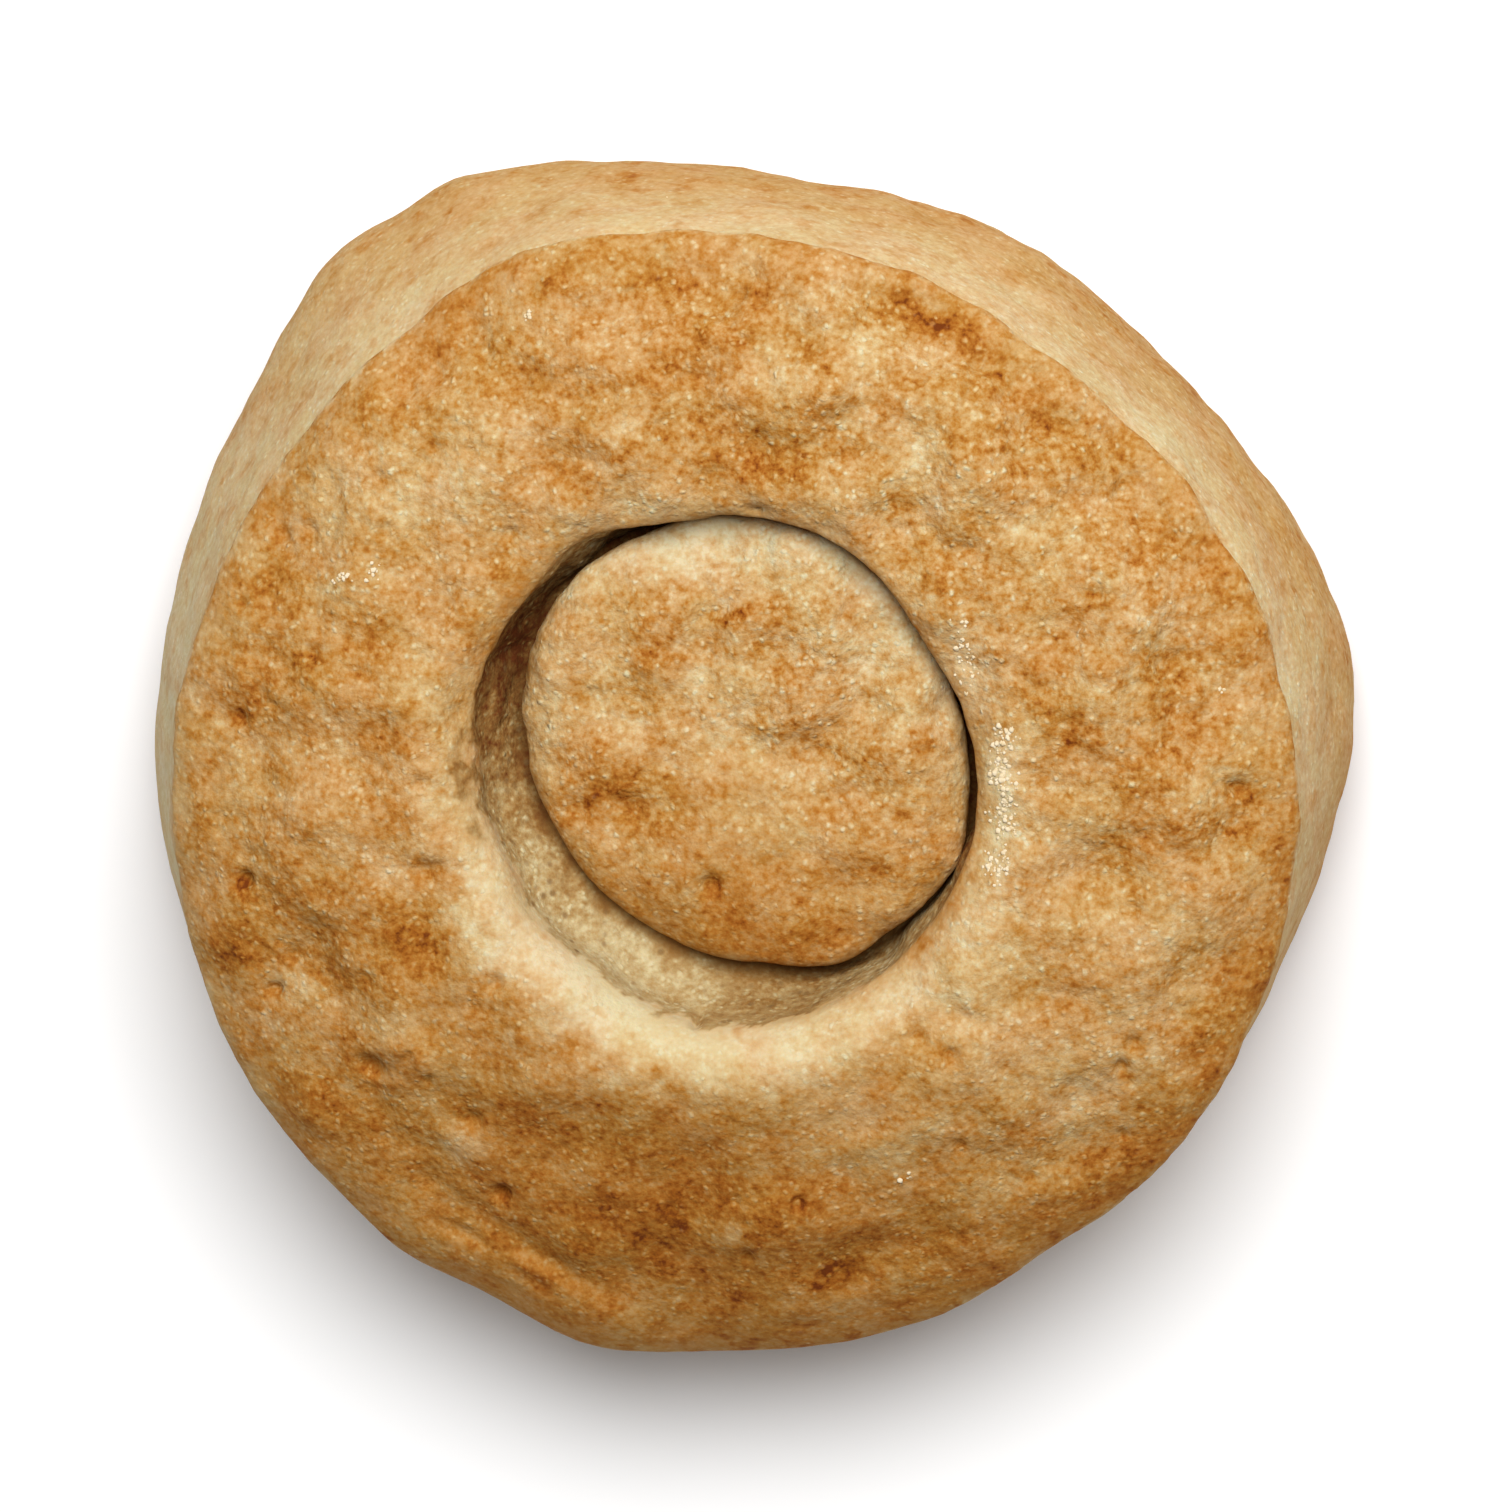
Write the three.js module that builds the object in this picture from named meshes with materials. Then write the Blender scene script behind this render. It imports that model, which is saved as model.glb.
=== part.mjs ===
// A baking powder biscuit, baked from one thick round of dough. A small round cutter was pressed
// partway into its top before baking, so a ring-shaped cut surrounds a low centre round that is
// still joined to the biscuit at its foot. The dough rose unevenly: the flank bulges out past the
// rim, most of all at two corners, and on one side the crust slopes off to a low rim. The cut gapes
// on that side and stays narrow, with sharp edges, on the other.
//
// The surface is lofted through level rings, from the flat base up over the flank and the crust,
// down into the cut, and up again over the centre round. Lengths are in millimetres, bearings in
// degrees anticlockwise from +X seen from above, and +Z is up.

import * as THREE from 'three';
import { LoftGeometry } from 'three/addons/geometries/LoftGeometry.js';

// Heights of the main levels above the base.
const bellyHeight = 10.5; // where the flank is widest
const rimHeight = 25.0; // where the flank meets the top crust
const crestHeight = 29.1; // the top crust between rim and cut
const lipHeight = 27.2; // upper edge of the cut
const roundHeight = 26.5; // top of the centre round
const cutHeight = 18.0; // bottom of the cut, before its lifts

// The four outlines that shape the biscuit, seen from above. Each is a circle with bulges and
// hollows on it, given as [bearing, spread, how far out].
const belly = {
  centre: [-1.8, -1.58],
  radius: 36.96,
  bulges: [
    [12, 20, 2.3],
    [64, 13, 0.8],
    [116, 5, 0.45],
    [119, 25, 3.4],
    [129, 7, 0.75],
    [151, 38, 0.8],
    [240, 40, -0.6],
    [318, 40, -1.5],
  ],
};
const rim = {
  centre: [-0.54, -0.75],
  radius: 34.76,
  bulges: [
    [56, 31, -1.4],
    [110, 12, 0.8],
    [148, 36, -0.75],
    [213, 18, 0.5],
    [235, 6, 0.6],
    [255, 9, 0.95],
    [303, 9, -0.75],
  ],
};
const lip = {
  centre: [-0.53, 1.02],
  radius: 15.82,
  bulges: [
    [28, 26, -0.85],
    [104, 11, -0.35],
    [123, 12, 0.55],
    [204, 24, -0.9],
    [236, 14, -0.85],
  ],
};
const round = {
  centre: [0.54, 2.46],
  radius: 14.04,
  bulges: [
    [32, 33, -1.2],
    [151, 34, 0.55],
    [219, 44, -1.0],
    [294, 13, 0.9],
    [329, 19, 0.75],
  ],
};

// Sides of the biscuit where its levels differ, as [bearing, spread].
const sides = {
  slope: [262, 60], // the crust slopes off to a low rim
  swollen: [252, 52], // the rim is pushed out
  roll: [243, 52], // the crust rolls up round the cut, and the round slopes down to it
  shallow: [228, 70], // the cut is wide and shallow
  crack: [12, 68], // the cut is a narrow crack
  firm: [70, 70], // the edges of the cut are sharp
  torn: [150, 40], // the outer wall of the cut is torn
};

// The rings, from the base up and over to the middle of the centre round. A ring follows an
// outline, or lies a share of the way from one outline to the next, and may be drawn in by an
// inset. On some sides lift raises it and push widens it. steps is the number of facet rows up
// to the next ring.
const rings = [
  { on: belly, inset: 3.8, height: 0, steps: 2 },
  { on: belly, inset: 1.3, height: 2.2, steps: 2 },
  { on: belly, inset: 0.25, height: 6.0, lift: { slope: -0.5 }, push: { swollen: 0.3 }, steps: 2 },
  { on: belly, height: bellyHeight, lift: { slope: -1.0 }, push: { swollen: 0.5 }, steps: 2 },
  { on: belly, to: rim, share: 0.45, height: 17.0, lift: { slope: -3.6 }, push: { swollen: 1.0 }, steps: 2 },
  { on: belly, to: rim, share: 0.86, height: 22.4, lift: { slope: -7.4 }, push: { swollen: 1.7 }, steps: 2 },
  { on: rim, height: rimHeight, lift: { slope: -8.9 }, push: { swollen: 2.0 }, steps: 1 },
  { on: rim, inset: 0.8, height: 26.3, lift: { slope: -8.2 }, push: { swollen: 1.9 }, steps: 1 },
  { on: rim, inset: 2.4, height: 27.2, lift: { slope: -7.1 }, push: { swollen: 1.5 }, steps: 2 },
  { on: rim, inset: 5.0, height: 28.2, lift: { slope: -6.2 }, push: { swollen: 0.8 }, steps: 3 },
  { on: rim, to: lip, share: 0.5, height: crestHeight - 0.1, lift: { slope: -2.9 }, steps: 3 },
  { on: rim, to: lip, share: 0.77, height: crestHeight, lift: { slope: -0.3, roll: 0.2 }, steps: 2 },
  { on: lip, inset: -2.6, height: 28.9, lift: { roll: 0.5, firm: 0.1 }, steps: 1 },
  { on: lip, inset: -1.1, height: 28.3, lift: { roll: 0.5, firm: 0.5 }, steps: 1 },
  { on: lip, height: lipHeight, lift: { roll: 0.3, firm: 1.0 }, push: { crack: -0.1 }, steps: 1 },
  {
    on: lip,
    to: round,
    share: 0.14,
    height: 25.8,
    lift: { shallow: -1.1, firm: 0.6 },
    push: { crack: -0.2 },
    steps: 2,
  },
  {
    on: lip,
    to: round,
    share: 0.55,
    height: 22.0,
    lift: { shallow: 1.4, crack: 1.2, torn: 0.8 },
    push: { crack: -0.2 },
    steps: 2,
  },
  {
    on: lip,
    to: round,
    share: 0.96,
    height: cutHeight,
    lift: { shallow: 4.6, crack: 3.2, torn: 2.0 },
    steps: 1,
  },
  {
    on: round,
    inset: 1.7,
    height: cutHeight + 0.3,
    lift: { shallow: 4.4, crack: 3.0, torn: 1.9 },
    steps: 2,
  },
  { on: round, inset: 0.7, height: 21.6, lift: { shallow: 1.4, crack: 1.0, torn: 0.6 }, steps: 2 },
  { on: round, inset: 0.05, height: 24.0, lift: { roll: -0.5, firm: 0.8 }, push: { crack: 0.1 }, steps: 1 },
  { on: round, inset: 0.2, height: 24.9, lift: { roll: -0.8, firm: 0.6 }, push: { crack: 0.1 }, steps: 1 },
  { on: round, inset: 1.1, height: 25.7, lift: { roll: -0.8, firm: 0.3 }, steps: 2 },
  { on: round, inset: 4.5, height: 26.3, lift: { roll: -0.3 }, steps: 2 },
  { on: round, inset: 9.0, height: roundHeight, steps: 2 },
  { on: round, inset: 12.2, height: roundHeight, steps: 0 },
];
const around = 100; // facets round each ring

// Dents and lumps in the top crust: [x, y, half length, half width, bearing of the length, height].
const dents = [
  [12, 26.5, 7, 1.6, 350, -0.8],
  [20, 22, 5, 2, 320, -0.8],
  [26, 16, 5, 1.6, 310, -0.6],
  [6, 24, 4, 2.5, 20, 0.4],
  [-4, 29, 7, 1.4, 5, -0.4],
  [-13, 25, 6, 2.5, 350, -0.5],
  [1, 21.5, 7, 2, 345, -0.5],
  [-9, -23, 8, 2.5, 345, -0.7],
  [-27, -12, 2.5, 5, 40, -0.8],
  [-29, 4, 4, 3, 60, -0.6],
  [-21, -17, 4, 3, 60, 0.5],
  [-26, -1, 3, 4, 20, 0.5],
  [23, -5, 4, 3, 80, -0.7],
  [30, -2, 2.5, 3, 60, -0.6],
  [20, -13, 7, 2.5, 340, -0.6],
  [-13, -30.5, 6, 1.2, 330, -0.8],
  [6, -30.5, 2, 2.5, 70, -0.6],
  [-17, -23, 3, 2, 330, 0.5],
  [24, 6, 4, 3, 60, 0.4],
  [0, -28, 6, 2, 10, 0.5],
];
const dentFloor = 12; // below this level the crust's dents have faded out
const dentFull = 19; // above this level they have their whole height

const swell = { height: 0.28, wavelength: 13, waves: 5 }; // the crust's overall unevenness

function bearingGap(a, b) {
  return THREE.MathUtils.euclideanModulo(a - b + 180, 360) - 180;
}

// How strongly a bulge or a side is felt at a bearing, from 0 to 1.
function nearness(bearing, at, spread) {
  return Math.exp(-((bearingGap(bearing, at) / spread) ** 2));
}

// The point of an outline at a bearing, drawn in by an inset.
function outlinePoint(outline, bearing, inset) {
  let radius = outline.radius - inset;
  for (const [at, spread, out] of outline.bulges) {
    // A bulge dies away towards the middle of a ring that is drawn far in.
    const kept = Math.max(0, radius) / outline.radius;
    radius += kept * out * nearness(bearing, at, spread);
  }
  const angle = THREE.MathUtils.degToRad(bearing);
  const [x, y] = outline.centre;
  return new THREE.Vector2(x + radius * Math.cos(angle), y + radius * Math.sin(angle));
}

// What the sides add up to at a bearing, for amounts given by side.
function bySide(amounts, bearing) {
  let total = 0;
  for (const [side, amount] of Object.entries(amounts ?? {})) {
    total += amount * nearness(bearing, ...sides[side]);
  }
  return total;
}

function ringPoint(ring, bearing) {
  const inset = (ring.inset ?? 0) - bySide(ring.push, bearing);
  const point = outlinePoint(ring.on, bearing, inset);
  if (ring.to) point.lerp(outlinePoint(ring.to, bearing, 0), ring.share);
  return new THREE.Vector3(point.x, point.y, ring.height + bySide(ring.lift, bearing));
}

// Height that the dents and the swell add at a point seen from above.
function relief(x, y) {
  let height = 0;
  for (const [dentX, dentY, halfLength, halfWidth, bearing, rise] of dents) {
    const turn = THREE.MathUtils.degToRad(bearing);
    const along = (x - dentX) * Math.cos(turn) + (y - dentY) * Math.sin(turn);
    const across = (y - dentY) * Math.cos(turn) - (x - dentX) * Math.sin(turn);
    height += rise * Math.exp(-((along / halfLength) ** 2) - (across / halfWidth) ** 2);
  }
  const goldenAngle = Math.PI * (3 - Math.sqrt(5));
  for (let i = 0; i < swell.waves; i++) {
    const direction = i * goldenAngle;
    const phase = (x * Math.cos(direction) + y * Math.sin(direction)) / swell.wavelength + i;
    height += (swell.height * Math.sin(phase * 2 * Math.PI)) / Math.sqrt(swell.waves);
  }
  return height;
}

// One closed row of points for each level of the loft.
function loftRows() {
  const profiles = [];
  for (let i = 0; i < around; i++) {
    const bearing = (i * 360) / around;
    const points = rings.map((ring) => ringPoint(ring, bearing));
    profiles.push(new THREE.CatmullRomCurve3(points, false, 'centripetal'));
  }
  const rows = [];
  rings.forEach((ring, index) => {
    const count = Math.max(1, ring.steps);
    for (let step = 0; step < count; step++) {
      const t = (index + step / count) / (rings.length - 1);
      rows.push(profiles.map((profile) => profile.getPoint(t)));
    }
  });
  for (const row of rows) {
    for (const point of row) {
      const share = THREE.MathUtils.smoothstep(point.z, dentFloor, dentFull);
      point.z += share * relief(point.x, point.y);
    }
  }
  return rows;
}

function biscuitGeometry() {
  const geometry = new LoftGeometry(loftRows(), { closed: true, capStart: true, capEnd: true });
  geometry.computeBoundingBox();
  const middle = geometry.boundingBox.getCenter(new THREE.Vector3());
  geometry.translate(-middle.x, -middle.y, 0);
  return geometry;
}

const crust = new THREE.MeshStandardMaterial({ color: 0xc79657, roughness: 0.85, metalness: 0 });

const biscuit = new THREE.Mesh(biscuitGeometry(), crust);
biscuit.name = 'biscuit';

const part = new THREE.Group();
part.add(biscuit);

export default part;
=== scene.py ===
import math
import random

import bmesh
import bpy
import numpy as np
from mathutils import Matrix, Vector, noise


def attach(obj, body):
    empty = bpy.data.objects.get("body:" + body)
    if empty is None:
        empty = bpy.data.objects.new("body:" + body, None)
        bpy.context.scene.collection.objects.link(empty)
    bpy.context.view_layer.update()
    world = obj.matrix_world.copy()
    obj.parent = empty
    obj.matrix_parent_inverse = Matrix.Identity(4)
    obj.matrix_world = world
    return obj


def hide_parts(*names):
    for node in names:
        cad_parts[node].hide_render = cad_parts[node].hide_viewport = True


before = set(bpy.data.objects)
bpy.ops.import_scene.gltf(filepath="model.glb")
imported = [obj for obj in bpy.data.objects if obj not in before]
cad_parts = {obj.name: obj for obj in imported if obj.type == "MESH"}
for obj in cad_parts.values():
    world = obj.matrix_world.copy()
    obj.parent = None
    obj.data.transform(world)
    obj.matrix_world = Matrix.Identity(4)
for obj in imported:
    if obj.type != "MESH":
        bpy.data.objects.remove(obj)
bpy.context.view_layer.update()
mm = 0.001

# Shape of the biscuit, in mm. Bearings are degrees anticlockwise from +X, seen from above.
# An outline is a circle with bulges on it: [bearing, spread, how far out].
belly = {
    "centre": (-1.8, -1.58),
    "radius": 36.96,
    "bulges": [
        [12, 20, 2.3], [116, 5, 0.45], [129, 7, 0.75], [119, 25, 3.4],
        [64, 13, 0.8], [151, 38, 0.8], [240, 40, -0.6], [318, 40, -1.5],
    ],
}
rim = {
    "centre": (-0.54, -0.75),
    "radius": 34.76,
    "bulges": [
        [56, 31, -1.4], [110, 12, 0.8], [148, 36, -0.75], [213, 18, 0.5],
        [235, 6, 0.6], [255, 9, 0.95], [303, 9, -0.75],
    ],
}
lip = {
    "centre": (-0.53, 1.02),
    "radius": 15.82,
    "bulges": [[28, 26, -0.85], [123, 12, 0.55], [104, 11, -0.35], [204, 24, -0.9], [236, 14, -0.85]],
}
middleRound = {
    "centre": (0.54, 2.46),
    "radius": 14.04,
    "bulges": [[32, 33, -1.2], [151, 34, 0.55], [219, 44, -1.0], [294, 13, 0.9], [329, 19, 0.75]],
}

# Sides of the biscuit where something is different: bearing, spread.
sides = {
    "slope": (262, 60),  # the crust slopes off to a low rim
    "swollen": (252, 52),  # the rim is pushed out
    "roll": (243, 52),  # the crust rolls up round the cut, and the round slopes towards it and is browned at its edge, partly as painted shade
    "shallow": (228, 70),  # the cut is wide and shallow
    "crack": (12, 68),  # the cut is a narrow crack, its walls browned darker, partly as painted shade
    "brownAndShaded": (250, 46),  # the flank, the rim and the crust are browner, partly real browning and partly painted shade on the side away from the lamp
    "wan": (318, 32),  # the crust and the cut are paler, the flank and the rim browner
    "pale": (242, 58),  # the roll is paler
    "firm": (70, 70),  # the edges of the cut are sharp
    "torn": (150, 40),  # the outer wall of the cut is torn and browner
    "frayed": (170, 30),  # the torn wall runs on
    "dim": (285, 24),  # the outer wall of the cut is a little browner
    "light": (135, 42),  # the crust is paler, the flank browner
    "soft": (176, 36),  # the rim is soft and pale
    "rugged": (45, 50),  # the crust is bumpier and a little paler
    "near": (275, 55),  # the lower end of the centre round, browner there, partly as painted shade
    "far": (85, 60),  # its upper end, paler on the round, partly as painted light, and a little browner on the flank
}


def ring(on, height, rows, browningAndShade, **more):  # one level of the loft
    usual = {
        "to": None, "share": 0, "inset": 0, "every": 2, "hold": False,
        "lift": {}, "push": {}, "stain": {}, "crumb": 0, "coarse": 1.0,
    }
    return {**usual, "on": on, "height": height, "rows": rows, "browningAndShade": browningAndShade, **more}


dough = {
    "columns": 800,  # facets round the outer rings
    "centred": (1.180, 0.717),  # moves the loft so that its box is centred on the frame
    # From the base to the middle. A ring lies on an outline, moved in by its inset, or a share of the
    # way to another outline. It has so many rows of facets up to the next ring, and "every" thins its
    # columns. Each side can lift it, push it out or stain it browner; some of that browning is painted
    # shade. "coarse" is how bumpy it is, "crumb" is 1 where the dough was cut, and "hold" keeps its
    # looks up to the next ring.
    "rings": [
        ring(belly, 0.0, 3, 0.80, inset=30, every=8, coarse=0.5),
        ring(belly, 0.0, 5, 0.80, inset=12, every=4, coarse=0.5),
        ring(belly, 0.0, 7, 0.78, inset=3.8, coarse=0.5),
        ring(belly, 2.2, 8, 0.62, inset=1.3, coarse=0.5),
        ring(belly, 6.0, 10, 0.46, inset=0.25, coarse=0.5, lift={"slope": -0.5}, push={"swollen": 0.3}),
        ring(belly, 10.5, 14, 0.46, coarse=0.5, lift={"slope": -1.0}, push={"swollen": 0.5},
             stain={"brownAndShaded": 0.08, "soft": -0.34, "far": 0.04}),
        ring(belly, 17.0, 13, 0.30, to=rim, share=0.45, coarse=0.5,
             lift={"slope": -3.6}, push={"swollen": 1.0},
             stain={"brownAndShaded": 0.14, "soft": -0.28, "far": 0.03, "light": 0.05, "wan": 0.1}),
        ring(belly, 22.4, 7, 0.17, to=rim, share=0.86, every=1, coarse=0.5,
             lift={"slope": -7.4}, push={"swollen": 1.7},
             stain={"brownAndShaded": 0.22, "soft": -0.1, "far": 0.03, "light": 0.05, "wan": 0.14}),
        ring(rim, 24.7, 3, 0.16, inset=0.25, every=1, coarse=0.55, hold=True, lift={"slope": -9.0},
             push={"swollen": 2.0}, stain={"brownAndShaded": 0.26, "far": 0.05, "wan": 0.12}),
        ring(rim, 25.4, 3, 0.58, inset=0.02, every=1, coarse=0.65, lift={"slope": -8.8},
             push={"swollen": 2.0}, stain={"soft": -0.2, "rugged": -0.04}),
        ring(rim, 26.3, 7, 0.53, inset=0.8, every=1, coarse=0.75, lift={"slope": -8.2},
             push={"swollen": 1.9}, stain={"brownAndShaded": 0.08, "soft": -0.1, "rugged": -0.12, "wan": 0.14}),
        ring(rim, 27.2, 9, 0.50, inset=2.4, every=1, coarse=0.9, lift={"slope": -7.1},
             push={"swollen": 1.5}, stain={"brownAndShaded": 0.12, "rugged": -0.1, "wan": 0.08}),
        ring(rim, 28.2, 17, 0.47, inset=5.0, every=1, lift={"slope": -6.2}, push={"swollen": 0.8},
             stain={"brownAndShaded": 0.15, "light": -0.09, "rugged": -0.06, "wan": -0.08}),
        ring(rim, 29.0, 14, 0.46, to=lip, share=0.50, lift={"slope": -2.9},
             stain={"brownAndShaded": 0.15, "light": -0.07, "rugged": -0.04, "wan": -0.08}),
        ring(rim, 29.1, 6, 0.46, to=lip, share=0.77, lift={"slope": -0.3, "roll": 0.2},
             stain={"brownAndShaded": 0.12, "wan": -0.1}),
        ring(lip, 28.95, 4, 0.46, inset=-2.6, lift={"roll": 0.5, "firm": 0.1},
             stain={"pale": -0.30, "wan": -0.18}),
        ring(lip, 28.3, 5, 0.41, inset=-1.1, coarse=0.9, lift={"roll": 0.5, "firm": 0.5},
             stain={"pale": -0.44, "wan": -0.18}),
        ring(lip, 27.2, 3, 0.41, inset=-0.1, coarse=0.55, hold=True,
             lift={"roll": 0.3, "firm": 1.0}, push={"crack": -0.12},
             stain={"pale": -0.36, "crack": 0.15, "torn": 0.1, "firm": -0.1}),
        # On the rings of the cut, "crack" browns the walls of the narrow crack, partly as painted shade.
        ring(lip, 26.7, 4, 0.46, to=middleRound, share=0.04, crumb=1, coarse=0.6,
             lift={"roll": 0.1, "shallow": -0.2, "firm": 0.9}, push={"crack": -0.15},
             stain={"pale": -0.02, "crack": 0.5, "torn": 0.2, "frayed": 0.12, "dim": 0.1, "wan": -0.16}),
        ring(lip, 25.8, 6, 0.40, to=middleRound, share=0.14, crumb=1, coarse=0.9,
             lift={"shallow": -1.1, "firm": 0.6}, push={"crack": -0.2},
             stain={"pale": -0.08, "crack": 0.55, "torn": 0.2, "frayed": 0.2, "dim": 0.16, "wan": -0.2}),
        ring(lip, 22.0, 6, 0.44, to=middleRound, share=0.55, crumb=1, coarse=1.0,
             lift={"shallow": 1.4, "crack": 1.2, "torn": 0.8}, push={"crack": -0.2},
             stain={"pale": -0.13, "crack": 0.6, "torn": 0.2, "frayed": 0.22, "dim": 0.26, "wan": -0.24}),
        # These deepest rings, browned to 0.9 and then 0.74, paint the round's shadow on the floor of the cut
        # and the shade at its foot and deep in the crack.
        ring(lip, 18.0, 4, 0.90, to=middleRound, share=0.96, crumb=1, coarse=0.5,
             lift={"shallow": 4.6, "crack": 3.2, "torn": 2.0}, stain={"pale": -0.14, "wan": -0.1}),
        ring(middleRound, 18.3, 5, 0.90, inset=1.7, crumb=1, coarse=0.5,
             lift={"shallow": 4.4, "crack": 3.0, "torn": 1.9}, stain={"pale": -0.1}),
        ring(middleRound, 21.6, 5, 0.74, inset=0.7, crumb=1, coarse=0.5,
             lift={"shallow": 1.4, "crack": 1.0, "torn": 0.6}, stain={"crack": 0.26}),
        # "roll" browns the round's lower edge, partly as painted shade.
        ring(middleRound, 24.0, 3, 0.50, inset=0.05, crumb=0.6, coarse=0.6, push={"crack": 0.1},
             lift={"roll": -0.5, "firm": 0.8}, stain={"crack": 0.2, "roll": 0.12}),
        ring(middleRound, 24.9, 4, 0.34, inset=0.2, coarse=0.8, push={"crack": 0.1},
             lift={"roll": -0.8, "firm": 0.6}, stain={"near": 0.16, "far": -0.26, "roll": 0.14}),
        ring(middleRound, 25.7, 9, 0.36, inset=1.1, lift={"roll": -0.8, "firm": 0.3},
             stain={"near": 0.2, "far": -0.26, "roll": 0.12}),
        ring(middleRound, 26.3, 12, 0.41, inset=4.5, every=4, coarse=1.1, lift={"roll": -0.3},
             stain={"near": 0.16, "far": -0.12}),
        ring(middleRound, 26.5, 9, 0.42, inset=9, every=8, coarse=1.1),
        ring(middleRound, 26.5, 0, 0.42, inset=13.2, every=8, coarse=1.1),
    ],
    # The looks change from ring to ring along a border that wanders by so many mm, more on some sides.
    "wander": 0.2,
    "wanderMore": {"soft": 1.4, "slope": 0.8, "light": 0.5},
    "wanderNoise": [(1.7, 1.4, 31), (0.6, 0.6, 37)],  # size, share, where in the noise
    "heldGap": 0.1,  # held looks change over the last so many mm before the next ring
    "coarser": {"slope": -0.3, "rugged": 0.15},  # how much bumpier the sides are
}

relief = {
    # Dents and lumps in the top crust: x, y, half length, half width, bearing of the length, height.
    "dents": [
        [12, 26.5, 7, 1.6, 350, -0.8], [20, 22, 5, 2, 320, -0.8], [26, 16, 5, 1.6, 310, -0.6],
        [6, 24, 4, 2.5, 20, 0.4], [-4, 29, 7, 1.4, 5, -0.4], [-13, 25, 6, 2.5, 350, -0.5],
        [1, 21.5, 7, 2, 345, -0.5], [-9, -23, 8, 2.5, 345, -0.7], [-27, -12, 2.5, 5, 40, -0.8],
        [-29, 4, 4, 3, 60, -0.6], [-21, -17, 4, 3, 60, 0.5], [-26, -1, 3, 4, 20, 0.5],
        [23, -5, 4, 3, 80, -0.7], [30, -2, 2.5, 3, 60, -0.6], [20, -13, 7, 2.5, 340, -0.6],
        [-13, -30.5, 6, 1.2, 330, -0.8], [6, -30.5, 2, 2.5, 70, -0.6], [-17, -23, 3, 2, 330, 0.5],
        [24, 6, 4, 3, 60, 0.4], [0, -28, 6, 2, 10, 0.5],
    ],
    # Finer dents, folds and lumps, too small for the solid.
    "fineDents": [
        [-17.5, -29.4, 1.9, 0.5, 333, -0.4], [-17.3, -28.6, 2.0, 0.6, 333, 0.25],
        [-13.4, -32.3, 1.9, 0.5, 330, -0.4], [-13.2, -31.5, 2.0, 0.6, 330, 0.25],
        [-22.5, -18.0, 1.0, 0.5, 325, -0.6], [-20.0, -17.0, 1.8, 1.2, 330, 0.5],
        [-27.4, -13.2, 1.8, 1.1, 330, 0.5], [-17.8, -22.9, 1.7, 1.2, 340, 0.5],
        [-25.4, -9.3, 1.8, 1.6, 20, -0.5], [-24.6, -4.0, 1.4, 1.8, 0, -0.4],
        [7.6, 26.7, 2.0, 1.0, 350, 0.4], [10.6, 29.4, 4.0, 0.8, 345, -0.5],
        [19.4, 22.3, 1.6, 1.0, 325, -0.5], [2.4, 25.4, 0.5, 1.6, 20, -0.3],
        [-9.7, -1.7, 0.8, 0.9, 0, -0.35], [-6.6, -1.6, 0.9, 1.0, 320, -0.35], [-1.7, -6.2, 0.8, 0.6, 0, -0.3],
        [-0.3, 10.9, 2.6, 0.5, 15, -0.2], [5.5, 11.5, 2.0, 2.0, 0, -0.2], [-1.1, 4.9, 1.6, 1.0, 0, -0.25],
        [1.7, 17.2, 0.6, 0.45, 0, -1.2], [14.5, -13.5, 2.4, 0.7, 340, -0.35],
        [8.5, -20.5, 3.0, 0.8, 20, -0.3],
    ],
    "dentRange": (12, 19),  # the dents fade in between these heights
    "swell": {"height": 0.28, "wavelength": 13, "waves": 5},
    # Noise along the normal: size of its lumps, height, where in the noise.
    "lumps": [(4.2, 0.76, 0), (2.1, 0.30, 0), (1.1, 0.12, 0), (0.6, 0.06, 0)],
    "lumpRange": (0.3, 3),  # the lumps fade in between these heights
    "pitFloor": 20,  # no pits below this height
    # Small pits: x, y, half width, depth.
    "pits": [
        [-6.0, 30.0, 0.35, 0.5], [0.5, 30.0, 0.4, 0.5], [1.9, 29.6, 0.35, 0.4], [23.5, 18.4, 0.4, 0.5],
        [-30.4, -6.4, 0.35, 0.6], [-28.8, -13.6, 0.35, 0.7], [-14.2, -12.1, 0.4, 0.6],
        [-14.9, -26.3, 0.55, 0.9], [-22.7, -18.1, 0.6, 0.6], [-16.3, -21.3, 0.5, 0.5],
        [-1.5, -22.5, 0.35, 0.4],
        [4.0, -25.9, 0.4, 0.5], [0.5, -29.8, 0.4, 0.5], [11.6, -14.8, 0.45, 0.5], [13.6, -15.9, 0.5, 0.6],
        [24.5, -15.3, 0.45, 0.4], [23.8, -16.8, 0.45, 0.6], [-30.5, 3.6, 0.45, 0.6], [-30.5, -6.8, 0.4, 0.8],
        [-18.8, 0.2, 0.4, 0.4], [-18.7, -5.3, 0.6, 0.6], [-18.0, 20.7, 0.5, 0.5], [-25.9, 15.4, 0.4, 0.5],
        [-30.3, 10.7, 0.4, 0.4], [-1.4, -6.2, 0.6, 0.5], [10.5, -1.9, 0.5, 0.3], [-2.2, -14.5, 0.3, 0.5],
        [2.0, -13.6, 0.2, 0.3], [30.8, 0.4, 0.6, 0.6],
    ],
    # More pits strewn over the crust between two distances from the middle.
    "strewnPits": {
        "count": 90, "from": 18, "to": 32.5, "halfWidth": (0.25, 0.5), "depth": (0.15, 0.4), "seed": 7,
    },
}

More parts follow.
